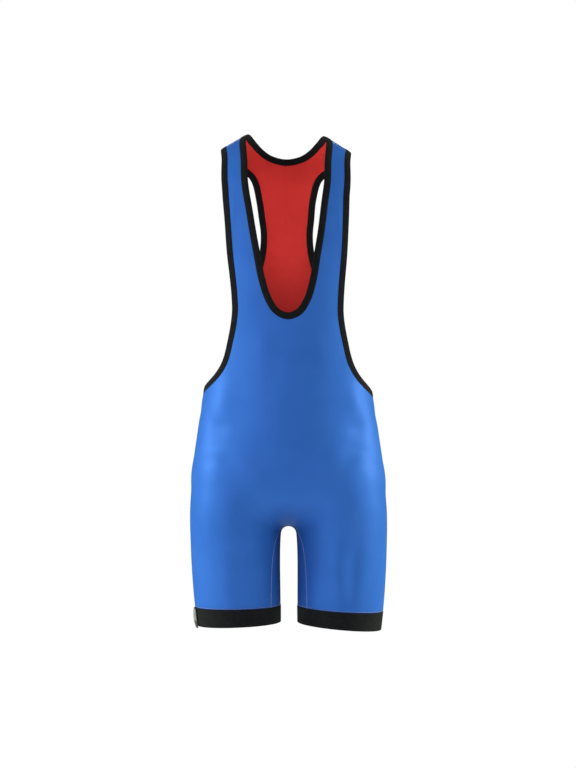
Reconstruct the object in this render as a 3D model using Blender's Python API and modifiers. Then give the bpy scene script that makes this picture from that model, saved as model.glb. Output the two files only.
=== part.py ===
"""Athletic singlet: a sleeveless stretch one-piece with short legs, in its worn, hollow form.

Metres, +Z up. The front faces -Y, and +X is the wearer's left. The origin lies midway between
the two straps, where they rest on the shoulders. Each cloth piece is a grid of points laid on
one smooth general figure, with a Solidify wall, so that neighbours share their seams.
"""

import math
from collections import namedtuple

import bmesh
import bpy
import numpy as np

# Walls and seams
PANEL_WALL = 0.0010
LINING_WALL = 0.0010
BINDING_WALL = 0.0030
CUFF_WALL = 0.0022
LABEL_WALL = 0.0010
SEAM_GAP = 0.0003
LAYER_GAP = 0.0006
LINING_MARGIN = 0.0004
BINDING_WIDTH = 0.0115
BINDING_DEPTH = 0.0026
BINDING_CROWN = 0.0003
BINDING_ROUNDING = 0.0008
CUFF_PROUD = 0.0008

# The general figure: torso sections from the shoulders down, with depths in front and behind
Section = namedtuple("Section", "height half_width front back")
TORSO = (
    Section(0.040, 0.190, 0.078, 0.086),
    Section(-0.050, 0.188, 0.084, 0.090),
    Section(-0.150, 0.172, 0.103, 0.106),
    Section(-0.250, 0.156, 0.112, 0.104),
    Section(-0.350, 0.147, 0.110, 0.092),
    Section(-0.435, 0.1475, 0.105, 0.086),
    Section(-0.470, 0.1535, 0.105, 0.090),
    Section(-0.512, 0.1595, 0.107, 0.100),
    Section(-0.570, 0.168, 0.109, 0.118),
    Section(-0.630, 0.1745, 0.108, 0.126),
    Section(-0.700, 0.174, 0.106, 0.120),
)
ROUNDNESS = 2.2
SHOULDER_SLOPE = 0.36
SLOPE_FADES = (-0.40, -0.12)
SHOULDER_START = -0.0471
SHOULDER_HEIGHT = 0.090
SEAT_START = -0.570
SEAT_HEIGHT = 0.095
SEAT_ROUNDNESS = 2.6

# The general figure: leg sections
Leg = namedtuple("Leg", "height centre middle half_width half_depth")
LEGS = (
    Leg(-0.500, 0.078, 0.006, 0.062, 0.090),
    Leg(-0.570, 0.0870, 0.006, 0.0780, 0.104),
    Leg(-0.630, 0.0915, 0.009, 0.0810, 0.106),
    Leg(-0.713, 0.0938, 0.011, 0.0788, 0.094),
    Leg(-0.808, 0.0910, 0.012, 0.0760, 0.086),
    Leg(-0.860, 0.0882, 0.012, 0.0730, 0.083),
)
LEG_ROUNDNESS = 2.1
CROTCH_BLEND = 0.034
SIDE_BLEND = 0.006
BLEND_REACH = 0.100
FIGURE_RADIUS = 0.110
THIGH_RADIUS = 0.080
TORSO_REACH = 0.300
LEG_REACH = 0.108

# Free edges, from the shoulder down: how far each lies from the centre line
Edge = namedtuple("Edge", "height half_width")
RIDGE_NECK = 0.0662
RIDGE_ARMHOLE = 0.1138
NECK_FRONT = (
    Edge(-0.034, 0.0673),
    Edge(-0.077, 0.0654),
    Edge(-0.118, 0.0593),
    Edge(-0.160, 0.0532),
    Edge(-0.201, 0.0460),
    Edge(-0.242, 0.0386),
    Edge(-0.273, 0.0292),
    Edge(-0.294, 0.0163),
    Edge(-0.301, 0.0),
)
NECK_BACK = (
    Edge(0.0065, 0.0537),
    Edge(-0.004, 0.0429),
    Edge(-0.013, 0.0300),
    Edge(-0.018, 0.0160),
    Edge(-0.020, 0.0),
)
ARMHOLE_FRONT = (
    Edge(-0.034, 0.1127),
    Edge(-0.077, 0.1122),
    Edge(-0.118, 0.1095),
    Edge(-0.160, 0.1069),
    Edge(-0.201, 0.1042),
    Edge(-0.242, 0.1000),
    Edge(-0.276, 0.0973),
    Edge(-0.304, 0.0970),
    Edge(-0.345, 0.1035),
    Edge(-0.386, 0.1142),
    Edge(-0.407, 0.1261),
    Edge(-0.4240, 0.1410),
)
ARMHOLE_BACK = (
    Edge(-0.026, 0.1040),
    Edge(-0.043, 0.0830),
    Edge(-0.060, 0.0639),
    Edge(-0.093, 0.0545),
    Edge(-0.125, 0.0505),
    Edge(-0.157, 0.0473),
    Edge(-0.190, 0.0500),
    Edge(-0.240, 0.0630),
    Edge(-0.300, 0.0825),
    Edge(-0.360, 0.1035),
    Edge(-0.405, 0.1240),
)
ARMHOLE_BOTTOM = -0.4318
NECK_MIDDLE = (0.0, 0.0, -0.10)
ARMHOLE_MIDDLE = (0.20, 0.0, -0.22)

# Seams of the body and legs
RACER_LEVEL = -0.185
WAIST_LEVEL = -0.405
SEAT_LEVEL = -0.560
CROTCH_SETBACK = -0.020
SIDE_START = 0.090
SIDE_SEAT = -0.575
SIDE_CROTCH = -0.668
SIDE_ARCH = -0.706
CUFF_TOP = -0.8142
CUFF_BOTTOM = -0.8435
HEM_SLANT_TOP = 0.0450
HEM_SLANT_BOTTOM = 0.0675
HEM_INNER_X = 0.015
LEAN = 0.024

# How far the middle line sways to the wearer's left, by height
Sway = namedtuple("Sway", "height shift")
SWAY = (
    Sway(-0.100, 0.0),
    Sway(-0.135, 0.0010),
    Sway(-0.205, 0.0019),
    Sway(-0.276, 0.0030),
    Sway(-0.450, 0.0038),
    Sway(-0.700, 0.0047),
    Sway(-0.845, 0.0055),
)

# How far the inseam is turned to the front of the thigh, in degrees, by height
Turn = namedtuple("Turn", "height degrees")
INSEAM = (
    Turn(-0.686, 24.0),
    Turn(-0.702, 34.0),
    Turn(-0.735, 39.5),
    Turn(-0.785, 42.0),
)
HEM_TURN = 43.0

# The label on the wearer's right cuff, in degrees round the leg from its side
LABEL_FRONT = 24.0
LABEL_BACK = -14.0
LABEL_TOP = -0.8160
LABEL_BOTTOM = -0.8460
LABEL_BULGE = 0.0022

# Rows and columns of the grids, and how many table rows from the shoulder each stretch ends
COLUMNS = 9
COLUMN_CROWDING = 1.25
STRAP_ROWS = 12
BIB_ROWS = 7
CHEST_ROWS = 7
YOKE_ROWS = 8
RACER_ROWS = 6
FLANK_ROWS = 9
HIP_ROWS = 5
SEAT_ROWS = 6
ARCH_ROWS = 5
THIGH_ROWS = 4
CUFF_ROWS = 2
LABEL_CELLS = 4
STRAP_KNOTS = 6
BIB_KNOTS = 8
ARCH_KNOTS = 2
YOKE_KNOTS = 3
RACER_KNOTS = 6
LEG_ROWS = ARCH_ROWS + THIGH_ROWS
CURVE_STEPS = 24
RELAX_PASSES = 120
HALVINGS = 40
SLOPE_STEP = 0.0002
WELD = 0.00001
ROUNDED_ANGLE = math.radians(60.0)
COLUMN_SHARES = np.linspace(0.0, 1.0, COLUMNS + 1) ** COLUMN_CROWDING

BLUE = (0.028, 0.125, 0.490)
RED = (0.480, 0.030, 0.030)
BLACK = (0.012, 0.012, 0.014)
PALE_GREY = (0.420, 0.420, 0.430)


class TableCurve:
    """A smooth curve by height through one column of a table, flat beyond its ends."""

    def __init__(self, table, column):
        rows = sorted(table, key=lambda row: row.height)
        self.knots = np.array([row.height for row in rows])
        self.values = np.array([getattr(row, column) for row in rows])
        self.slopes = np.gradient(self.values, self.knots)

    def __call__(self, height):
        height = np.clip(height, self.knots[0], self.knots[-1])
        cell = np.clip(np.searchsorted(self.knots, height, side="right") - 1, 0, len(self.knots) - 2)
        step = self.knots[cell + 1] - self.knots[cell]
        t = (height - self.knots[cell]) / step
        blend = t * t * (3.0 - 2.0 * t)
        rise = step * t * (1.0 - t) * (self.slopes[cell] * (1.0 - t) - self.slopes[cell + 1] * t)
        return self.values[cell] * (1.0 - blend) + self.values[cell + 1] * blend + rise


TORSO_WIDTH, TORSO_FRONT, TORSO_BACK = (TableCurve(TORSO, name) for name in Section._fields[1:])
LEG_CENTRE, LEG_MIDDLE, LEG_WIDTH, LEG_DEPTH = (TableCurve(LEGS, name) for name in Leg._fields[1:])
SWAY_SHIFT = TableCurve(SWAY, "shift")


def smooth_minimum(first, second, width):
    """The lower of two fields, with the crease between them rounded off."""
    near = np.maximum(width - np.abs(first - second), 0.0) / width
    return np.minimum(first, second) - near * near * width / 4.0


def torso_field(x, y, z):
    """Below zero inside the torso. The top closes as shoulders, and the bottom as a seat."""
    low, high = SLOPE_FADES
    fade = np.clip((z - low) / (high - low), 0.0, 1.0)
    level = z + SHOULDER_SLOPE * np.abs(x) * fade * fade * (3.0 - 2.0 * fade)
    across = np.abs(x) / TORSO_WIDTH(z)
    through = np.abs(y) / np.where(y < 0.0, TORSO_FRONT(level), TORSO_BACK(level))
    above = np.maximum(level - SHOULDER_START, 0.0) / SHOULDER_HEIGHT
    below = np.maximum(SEAT_START - z, 0.0) / SEAT_HEIGHT
    total = across**ROUNDNESS + through**ROUNDNESS + above**2 + below**SEAT_ROUNDNESS
    return FIGURE_RADIUS * (total ** (1.0 / ROUNDNESS) - 1.0)


def leg_field(x, y, z):
    """Below zero inside the leg on the plus X side."""
    across = np.abs(x - LEG_CENTRE(z)) / LEG_WIDTH(z)
    through = np.abs(y - LEG_MIDDLE(z)) / LEG_DEPTH(z)
    above = np.maximum(z - LEGS[1].height, 0.0) / (LEGS[0].height - LEGS[1].height)
    total = across**LEG_ROUNDNESS + through**LEG_ROUNDNESS + above**2
    return THIGH_RADIUS * (total ** (1.0 / LEG_ROUNDNESS) - 1.0)


def figure_field(points):
    """Below zero inside the general figure, zero on it and above zero outside."""
    x, y, z = points[..., 0], points[..., 1], points[..., 2]
    legs = smooth_minimum(leg_field(x, y, z), leg_field(-x, y, z), CROTCH_BLEND)
    blend = SIDE_BLEND + (CROTCH_BLEND - SIDE_BLEND) * np.exp(-((x / BLEND_REACH) ** 2))
    return smooth_minimum(torso_field(x, y, z), legs, blend)


def figure_slope(points):
    parts = []
    for axis in np.eye(3) * SLOPE_STEP:
        rise = figure_field(points + axis) - figure_field(points - axis)
        parts.append(rise / (2.0 * SLOPE_STEP))
    return np.stack(parts, axis=-1)


def on_figure(points, passes=12):
    """The points moved along the figure's slope until they lie on it."""
    points = np.array(points, float)
    for _ in range(passes):
        slope = figure_slope(points)
        length = np.maximum((slope**2).sum(-1), 1e-6)
        points -= (figure_field(points) / length)[..., None] * slope
    return points


def outward(points):
    slope = figure_slope(points)
    return slope / np.linalg.norm(slope, axis=-1, keepdims=True)


def sunk(points, depth):
    """The points moved inwards, square to the figure."""
    return points - depth * outward(points)


def surface_from(starts, directions, reach=TORSO_REACH):
    """Where straight lines from inside the figure come out of it."""
    starts, directions = np.broadcast_arrays(np.asarray(starts, float), np.asarray(directions, float))
    near = np.zeros(starts.shape[:-1])
    far = near + reach
    for _ in range(HALVINGS):
        middle = (near + far) / 2.0
        inside = figure_field(starts + middle[..., None] * directions) < 0.0
        near, far = np.where(inside, middle, near), np.where(inside, far, middle)
    return starts + near[..., None] * directions


def edge_points(table, facing):
    """A free edge's table as points of the figure, in front where facing is -1, behind where 1."""
    return surface_from([(row.half_width, 0.0, row.height) for row in table], (0.0, facing, 0.0))


def ridge_point(half_width):
    return surface_from((half_width, 0.0, NECK_MIDDLE[2]), (0.0, 0.0, 1.0))


def leg_points(heights, degrees):
    """Points at angles round the leg: 0 is its side, 90 its front and 180 its inside."""
    heights, turns = np.broadcast_arrays(np.asarray(heights, float), np.radians(degrees))
    starts = np.stack([LEG_CENTRE(heights), LEG_MIDDLE(heights), heights], axis=-1)
    directions = np.stack([np.cos(turns), -np.sin(turns), 0.0 * turns], axis=-1)
    return surface_from(starts, directions, LEG_REACH)


def hem_points(height, degrees):
    """Points of a level that falls a little towards the outside of the leg."""
    slant = np.interp(height, (CUFF_BOTTOM, CUFF_TOP), (HEM_SLANT_BOTTOM, HEM_SLANT_TOP))
    points = leg_points(height, degrees)
    for _ in range(4):
        points = leg_points(height - slant * (points[..., 0] - HEM_INNER_X), degrees)
    return points


def curve_through(knots, closed):
    """A smooth curve through the knots, CURVE_STEPS points for each stretch between two."""
    knots = np.asarray(knots, float)
    if closed:
        ends = np.vstack([knots[-1], knots, knots[0], knots[1]])
    else:
        ends = np.vstack([2 * knots[0] - knots[1], knots, 2 * knots[-1] - knots[-2]])
    points = []
    for before, start, end, after in zip(ends, ends[1:], ends[2:], ends[3:]):
        gaps = [math.sqrt(np.linalg.norm(b - a)) for a, b in ((before, start), (start, end), (end, after))]
        first = ((start - before) / gaps[0] - (end - before) / (gaps[0] + gaps[1])) * gaps[1] + (end - start)
        last = ((after - end) / gaps[2] - (after - start) / (gaps[1] + gaps[2])) * gaps[1] + (end - start)
        for t in np.arange(CURVE_STEPS) / CURVE_STEPS:
            points.append(
                (2 * t**3 - 3 * t**2 + 1) * start
                + (t**3 - 2 * t**2 + t) * first
                + (3 * t**2 - 2 * t**3) * end
                + (t**3 - t**2) * last
            )
    if not closed:
        points.append(knots[-1])
    return on_figure(points)


def even_places(points, rows):
    """Fractional indices that split a line of points into rows of equal length."""
    lengths = np.concatenate([[0.0], np.cumsum(np.linalg.norm(np.diff(points, axis=0), axis=1))])
    return np.interp(np.linspace(0.0, lengths[-1], rows + 1), lengths, np.arange(len(points)))


def at_places(points, places):
    return np.stack([np.interp(places, np.arange(len(points)), points[:, k]) for k in range(3)], axis=1)


def spread(points, rows):
    return on_figure(at_places(points, even_places(points, rows)))


class BoundEdge:
    """A closed free edge of the cloth, and the line where its binding meets the panels."""

    def __init__(self, knots, middle):
        self.free = curve_through(knots, closed=True)
        along = np.roll(self.free, -1, axis=0) - np.roll(self.free, 1, axis=0)
        across = np.cross(outward(self.free), along)
        across /= np.linalg.norm(across, axis=1, keepdims=True)
        if ((self.free - middle) * across).sum() < 0.0:
            across = -across
        self.inner = on_figure(self.free + BINDING_WIDTH * across)

    def stretch(self, first_knot, last_knot, rows):
        """Rows of the free edge and the inner line between two knots, in step with each other."""
        count = len(self.free)
        way = 1 if last_knot > first_knot else -1
        index = np.arange(first_knot * CURVE_STEPS, last_knot * CURVE_STEPS + way, way) % count
        free, inner = self.free[index], self.inner[index]
        places = even_places(inner, rows)
        return on_figure(at_places(free, places)), on_figure(at_places(inner, places))


def neck_edge():
    half = np.vstack([
        edge_points(NECK_FRONT, -1.0)[::-1],
        ridge_point(RIDGE_NECK),
        edge_points(NECK_BACK, 1.0),
    ])
    other_half = half[-2:0:-1] * (-1.0, 1.0, 1.0)
    return BoundEdge(np.vstack([half, other_half]), np.array(NECK_MIDDLE))


def armhole_edge():
    knots = np.vstack([
        surface_from((SIDE_START, 0.0, ARMHOLE_BOTTOM), (1.0, 0.0, 0.0)),
        edge_points(ARMHOLE_FRONT, -1.0)[::-1],
        ridge_point(RIDGE_ARMHOLE),
        edge_points(ARMHOLE_BACK, 1.0),
    ])
    return BoundEdge(knots, np.array(ARMHOLE_MIDDLE))


def level_rows(start, direction, top, bottom, rows):
    """Rows down a line of the figure, each found straight out from a point at its own height."""
    starts = np.array([(*start, height) for height in np.linspace(top, bottom, CURVE_STEPS)])
    return spread(surface_from(starts, direction), rows)


def centre_rows(top, bottom, rows, facing):
    """Rows down the middle line, in front where facing is -1 and behind where it is 1."""
    return level_rows((0.0, CROTCH_SETBACK), (0.0, facing, 0.0), top, bottom, rows)


def side_rows(top, bottom, rows):
    return level_rows((SIDE_START, 0.0), (1.0, 0.0, 0.0), top, bottom, rows)


def seat_rows(facing):
    """Rows from the middle line round under the seat, to where the four seams meet."""
    turns = np.radians(np.linspace(0.0, 90.0, CURVE_STEPS))
    directions = np.stack([0.0 * turns, facing * np.cos(turns), -np.sin(turns)], axis=-1)
    return spread(surface_from((0.0, CROTCH_SETBACK, SEAT_LEVEL), directions), SEAT_ROWS)


def inseam_rows(crotch):
    heights = [row.height for row in INSEAM]
    degrees = [180.0 - row.degrees for row in INSEAM]
    knots = np.vstack([crotch, leg_points(heights, degrees), hem_points(CUFF_TOP, 180.0 - HEM_TURN)])
    line = curve_through(knots, closed=False)
    arch = ARCH_KNOTS * CURVE_STEPS
    return [spread(line[: arch + 1], ARCH_ROWS), spread(line[arch:], THIGH_ROWS)]


def hem_row(height, start, end):
    return hem_points(height, start + COLUMN_SHARES * (end - start))


def shoulder_row(inner, outer):
    return on_figure(inner + COLUMN_SHARES[:, None] * (outer - inner))


def end_to_end(stretches):
    """Stretches of rows as one, each without the first row, which the one before it ends on."""
    return np.vstack([stretches[0]] + [stretch[1:] for stretch in stretches[1:]])


def swept_row(inner, outer, share, facing):
    """A first guess at a row, swung about an axis that moves from the torso to the leg."""
    axis = share * np.array((LEGS[2].centre, LEGS[2].middle))
    ends = [math.atan2(facing * (p[1] - axis[1]), p[0] - axis[0]) for p in (inner, outer)]
    if ends[0] < -math.pi / 2.0:
        ends[0] += 2.0 * math.pi
    reach = [math.hypot(p[0] - axis[0], p[1] - axis[1]) for p in (inner, outer)]
    turn = ends[0] + COLUMN_SHARES * (ends[1] - ends[0])
    radius = reach[0] + COLUMN_SHARES * (reach[1] - reach[0])
    height = inner[2] + COLUMN_SHARES * (outer[2] - inner[2])
    x = axis[0] + radius * np.cos(turn)
    y = axis[1] + facing * radius * np.sin(turn)
    return np.stack([x, y, height], axis=1)


def relaxed(grid):
    """The grid with its inner points evened out over the figure, and its border kept."""
    grid = grid.copy()
    share = (COLUMN_SHARES[1:-1] - COLUMN_SHARES[:-2]) / (COLUMN_SHARES[2:] - COLUMN_SHARES[:-2])
    for _ in range(RELAX_PASSES):
        above, below, inner, outer = grid[:-2, 1:-1], grid[2:, 1:-1], grid[1:-1, :-2], grid[1:-1, 2:]
        down = 1.0 / ((below - above) ** 2).sum(-1, keepdims=True)
        along = 1.0 / ((outer - inner) ** 2).sum(-1, keepdims=True)
        between = inner + share[:, None] * (outer - inner)
        middle = (down * (above + below) / 2.0 + along * between) / (down + along)
        grid[1:-1, 1:-1] = on_figure(middle, passes=2)
    return grid


def half_panel(bound_inner, bound_outer, facing):
    """One side of a panel: rows from the shoulder down, each from the centre outwards.

    The bound stretches run along the neck and centre line, and along the armhole. Below them
    come the hip, the seat and the thigh, where the rows swing from the torso round to the leg.
    """
    under = seat_rows(facing)
    hem = hem_points(CUFF_TOP, 0.0)
    hips = [centre_rows(WAIST_LEVEL, SEAT_LEVEL, HIP_ROWS, facing), under]
    sides = [
        side_rows(bound_outer[-1][-1][2], SIDE_SEAT, HIP_ROWS),
        side_rows(SIDE_SEAT, SIDE_CROTCH, SEAT_ROWS),
        side_rows(SIDE_CROTCH, SIDE_ARCH, ARCH_ROWS),
        side_rows(SIDE_ARCH, hem[2], THIGH_ROWS),
    ]
    inner, outer = end_to_end(bound_inner + hips + inseam_rows(under[-1])), end_to_end(bound_outer + sides)
    torso_rows = len(inner) - SEAT_ROWS - LEG_ROWS
    swing = np.linspace(0.0, 1.0, SEAT_ROWS + 1)[1:]
    shares = np.concatenate([np.zeros(torso_rows), swing, np.ones(LEG_ROWS)])
    rows = [swept_row(a, b, share, facing) for a, b, share in zip(inner, outer, shares)]
    grid = on_figure(np.array(rows))
    grid[0] = shoulder_row(inner[0], outer[0])
    grid[-1] = hem_row(CUFF_TOP, 180.0 - HEM_TURN if facing < 0.0 else -180.0 - HEM_TURN, 0.0)
    grid[:, 0], grid[:, -1] = inner, outer
    return relaxed(grid)


class Pattern:
    """The points that every piece is made from, all on the plus X side of the figure."""

    def __init__(self):
        neck, armhole = neck_edge(), armhole_edge()
        ridge = len(NECK_FRONT)
        self.neck_front = [
            neck.stretch(ridge, ridge - STRAP_KNOTS, STRAP_ROWS),
            neck.stretch(ridge - STRAP_KNOTS, 0, BIB_ROWS),
        ]
        self.neck_back = [neck.stretch(ridge, ridge + len(NECK_BACK), YOKE_ROWS)]
        ridge = len(ARMHOLE_FRONT) + 1
        bottom = ridge + len(ARMHOLE_BACK) + 1
        self.armhole_front = [
            armhole.stretch(ridge, ridge - STRAP_KNOTS, STRAP_ROWS),
            armhole.stretch(ridge - STRAP_KNOTS, ridge - BIB_KNOTS, BIB_ROWS),
            armhole.stretch(ridge - BIB_KNOTS, 0, CHEST_ROWS),
        ]
        self.armhole_back = [
            armhole.stretch(ridge, ridge + YOKE_KNOTS, YOKE_ROWS),
            armhole.stretch(ridge + YOKE_KNOTS, ridge + RACER_KNOTS, RACER_ROWS),
            armhole.stretch(ridge + RACER_KNOTS, bottom, FLANK_ROWS),
        ]
        self.front = self.front_half()
        self.back = self.back_half()

    def front_half(self):
        neck = [inner for free, inner in self.neck_front]
        chest = centre_rows(neck[-1][-1][2], WAIST_LEVEL, CHEST_ROWS, -1.0)
        return half_panel(neck + [chest], [inner for free, inner in self.armhole_front], -1.0)

    def back_half(self):
        neck = [inner for free, inner in self.neck_back]
        racer = centre_rows(neck[-1][-1][2], RACER_LEVEL, RACER_ROWS, 1.0)
        flank = centre_rows(RACER_LEVEL, WAIST_LEVEL, FLANK_ROWS, 1.0)
        return half_panel(neck + [racer, flank], [inner for free, inner in self.armhole_back], 1.0)


def unit(vectors):
    return vectors / np.linalg.norm(vectors, axis=-1, keepdims=True)


def inset(grid, neck_row, armhole_row, seam, bound):
    """The border moved in, by bound along the neck and armhole and by seam along the seams."""
    moved = grid.copy()
    crotch_row = len(grid) - 1 - LEG_ROWS
    for row in range(len(grid)):
        side = bound if row < armhole_row else seam
        moved[row, -1] += side * unit(grid[row, -2] - grid[row, -1])
        if row == neck_row:
            moved[row, 0] += bound * unit(grid[row + 1, 0] - grid[row, 0])
        elif row == crotch_row:
            moved[row, 0] += seam * unit(grid[row - 1, 0] - grid[row, 0])
        elif row < neck_row or row > crotch_row:
            edge = bound if row < neck_row else seam
            moved[row, 0] += edge * unit(grid[row, 1] - grid[row, 0])
    moved[0] += seam * unit(grid[1] - grid[0])
    moved[-1] += seam * unit(grid[-2] - grid[-1])
    return moved


def material(name, colour, roughness):
    made = bpy.data.materials.new(name)
    made.diffuse_color = (*colour, 1.0)
    made.use_nodes = True
    shader = made.node_tree.nodes["Principled BSDF"]
    shader.inputs["Base Color"].default_value = (*colour, 1.0)
    shader.inputs["Roughness"].default_value = roughness
    shader.inputs["Metallic"].default_value = 0.0
    return made


def add_piece(name, grid, wall, finish, ring=False, symmetric=False, right=False):
    """A grid of points as a cloth wall that grows outwards from them.

    A ring closes on its first row. A symmetric piece gets its minus X half, welded on the
    centre line. A right piece is turned over to the minus X side.
    """
    rows, columns = grid.shape[:2]
    shape = bmesh.new()
    verts = [shape.verts.new(point) for point in grid.reshape(-1, 3)]
    for row in range(rows if ring else rows - 1):
        below = (row + 1) % rows
        for column in range(columns - 1):
            corners = (row, column), (below, column), (below, column + 1), (row, column + 1)
            shape.faces.new([verts[r * columns + c] for r, c in corners])
    shape.normal_update()
    middle = np.array([face.calc_center_median() for face in shape.faces])
    facing = (np.array([face.normal for face in shape.faces]) * outward(middle)).sum()
    if facing < 0.0:
        bmesh.ops.reverse_faces(shape, faces=shape.faces)
    if symmetric:
        half = set(shape.faces)
        bmesh.ops.mirror(shape, geom=shape.verts[:] + shape.edges[:] + shape.faces[:], axis="X")
        bmesh.ops.reverse_faces(shape, faces=[face for face in shape.faces if face not in half])
        middle_verts = [vert for vert in shape.verts if abs(vert.co.x) < WELD]
        bmesh.ops.remove_doubles(shape, verts=middle_verts, dist=WELD)
    if right:
        bmesh.ops.scale(shape, vec=(-1.0, 1.0, 1.0), verts=shape.verts)
        bmesh.ops.reverse_faces(shape, faces=shape.faces)
    for vert in shape.verts:
        vert.co.z -= LEAN * vert.co.x
        vert.co.x += SWAY_SHIFT(vert.co.z)
    mesh = bpy.data.meshes.new(name)
    shape.to_mesh(mesh)
    shape.free()
    mesh.materials.append(finish)
    piece = bpy.data.objects.new(name, mesh)
    solidify = piece.modifiers.new("Wall", "SOLIDIFY")
    solidify.thickness = wall
    solidify.offset = 1.0
    return piece


def round_edges(piece, radius):
    bevel = piece.modifiers.new("Rounding", "BEVEL")
    bevel.width = radius
    bevel.segments = 1
    bevel.limit_method = "ANGLE"
    bevel.angle_limit = ROUNDED_ANGLE
    return piece


def binding_grid(stretches):
    """A strip from the free edge to just short of the panels, a little crowned in the middle."""
    free = end_to_end([stretch[0] for stretch in stretches])
    inner = end_to_end([stretch[1] for stretch in stretches])
    inner += SEAM_GAP * unit(free - inner)
    middle = on_figure((free + inner) / 2.0)
    middle += BINDING_CROWN * outward(middle)
    grid = np.stack([free, middle, inner], axis=1)
    return grid - BINDING_DEPTH * outward(grid)


def turned(stretches):
    """The same stretches walked the other way."""
    return [tuple(line[::-1] for line in stretch) for stretch in reversed(stretches)]


def front_panel(pattern, finish):
    neck_row, armhole_row = STRAP_ROWS + BIB_ROWS, STRAP_ROWS + BIB_ROWS + CHEST_ROWS
    grid = inset(pattern.front, neck_row, armhole_row, SEAM_GAP / 2.0, 0.0)
    return add_piece("front_panel", sunk(grid, PANEL_WALL), PANEL_WALL, finish, symmetric=True)


def back_layer(name, pattern, depth, wall, margin, finish):
    armhole_row = YOKE_ROWS + RACER_ROWS + FLANK_ROWS
    grid = inset(pattern.back, YOKE_ROWS, armhole_row, SEAM_GAP / 2.0 + margin, margin)
    return add_piece(name, sunk(grid, depth), wall, finish, symmetric=True)


def neck_binding(pattern, finish):
    grid = binding_grid(turned(pattern.neck_front) + pattern.neck_back)
    piece = add_piece("neck_binding", grid, BINDING_WALL, finish, symmetric=True)
    return round_edges(piece, BINDING_ROUNDING)


def armhole_binding(name, pattern, finish, right):
    grid = binding_grid(turned(pattern.armhole_front) + pattern.armhole_back)[:-1]
    piece = add_piece(name, grid, BINDING_WALL, finish, ring=True, right=right)
    return round_edges(piece, BINDING_ROUNDING)


def leg_cuff(name, finish, right):
    rows = []
    for height in np.linspace(CUFF_TOP - SEAM_GAP / 2.0, CUFF_BOTTOM, CUFF_ROWS + 1):
        front = hem_row(height, 180.0 - HEM_TURN, 0.0)
        back = hem_row(height, -180.0 - HEM_TURN, 0.0)
        rows.append(np.vstack([front, back[-2:0:-1]]))
    grid = np.array(rows).transpose(1, 0, 2)
    piece = add_piece(name, sunk(grid, CUFF_WALL - CUFF_PROUD), CUFF_WALL, finish, ring=True, right=right)
    return round_edges(piece, BINDING_ROUNDING)


def hem_label(finish):
    """A small tab on the outside of the right cuff, bulging a little where it isn't sewn down."""
    share = np.linspace(0.0, 1.0, LABEL_CELLS + 1)
    down, along = np.meshgrid(share, share, indexing="ij")
    heights = LABEL_TOP + down * (LABEL_BOTTOM - LABEL_TOP)
    grid = hem_points(heights, LABEL_FRONT + along * (LABEL_BACK - LABEL_FRONT))
    lift = CUFF_PROUD + SEAM_GAP + LABEL_BULGE * np.sin(math.pi * down) * np.sin(math.pi * along)
    return add_piece("hem_label", sunk(grid, -lift[..., None]), LABEL_WALL, finish, right=True)


def clear_scene():
    for thing in list(bpy.data.objects):
        bpy.data.objects.remove(thing, do_unlink=True)


def build():
    clear_scene()
    blue = material("blue_stretch_cloth", BLUE, 0.45)
    red = material("red_stretch_cloth", RED, 0.55)
    black = material("black_binding", BLACK, 0.75)
    grey = material("grey_label", PALE_GREY, 0.60)
    pattern = Pattern()
    lining_depth = PANEL_WALL + LAYER_GAP + LINING_WALL
    pieces = [
        front_panel(pattern, blue),
        back_layer("back_panel", pattern, PANEL_WALL, PANEL_WALL, 0.0, blue),
        back_layer("back_lining", pattern, lining_depth, LINING_WALL, LINING_MARGIN, red),
        neck_binding(pattern, black),
        armhole_binding("armhole_binding_left", pattern, black, right=False),
        armhole_binding("armhole_binding_right", pattern, black, right=True),
        leg_cuff("leg_cuff_left", black, right=False),
        leg_cuff("leg_cuff_right", black, right=True),
        hem_label(grey),
    ]
    collection = bpy.data.collections.new("athletic_singlet")
    bpy.context.scene.collection.children.link(collection)
    shoulders = bpy.data.objects.new("shoulders", None)
    collection.objects.link(shoulders)
    for piece in pieces:
        collection.objects.link(piece)
        piece.parent = shoulders


build()
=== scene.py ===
"""Looks for the athletic singlet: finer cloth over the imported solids, its sewing, light and camera.

The pieces are laid on the same general figure as the solids, from the same tables of sizes, with
finer rows and columns. A low relief on that figure gives every piece the same soft folds.
"""

import math
from collections import namedtuple

import bmesh
import bpy
import numpy as np
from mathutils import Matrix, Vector


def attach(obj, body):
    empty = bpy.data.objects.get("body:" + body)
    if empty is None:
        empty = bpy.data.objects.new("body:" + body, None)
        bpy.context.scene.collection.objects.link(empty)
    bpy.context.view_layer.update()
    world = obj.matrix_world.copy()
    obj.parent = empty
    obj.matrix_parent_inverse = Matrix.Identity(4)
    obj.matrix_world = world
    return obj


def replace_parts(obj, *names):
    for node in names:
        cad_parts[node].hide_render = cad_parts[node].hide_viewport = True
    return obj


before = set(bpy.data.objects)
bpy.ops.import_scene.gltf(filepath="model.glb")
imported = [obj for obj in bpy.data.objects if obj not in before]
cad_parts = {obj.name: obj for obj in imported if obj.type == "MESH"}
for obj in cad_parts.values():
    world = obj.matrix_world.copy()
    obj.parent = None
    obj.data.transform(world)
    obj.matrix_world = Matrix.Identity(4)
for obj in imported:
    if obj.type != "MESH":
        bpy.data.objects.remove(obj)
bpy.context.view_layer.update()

# Walls and seams
PANEL_WALL = 0.0010
BINDING_WALL = 0.0030
CUFF_WALL = 0.0022
LABEL_WALL = 0.0010
SEAM_GAP = 0.0003
LAYER_GAP = 0.0006
LINING_MARGIN = 0.0004
BINDING_WIDTH = 0.0115
BINDING_DEPTH = 0.0026
BINDING_CROWN = 0.0003
CUFF_PROUD = 0.0008

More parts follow.
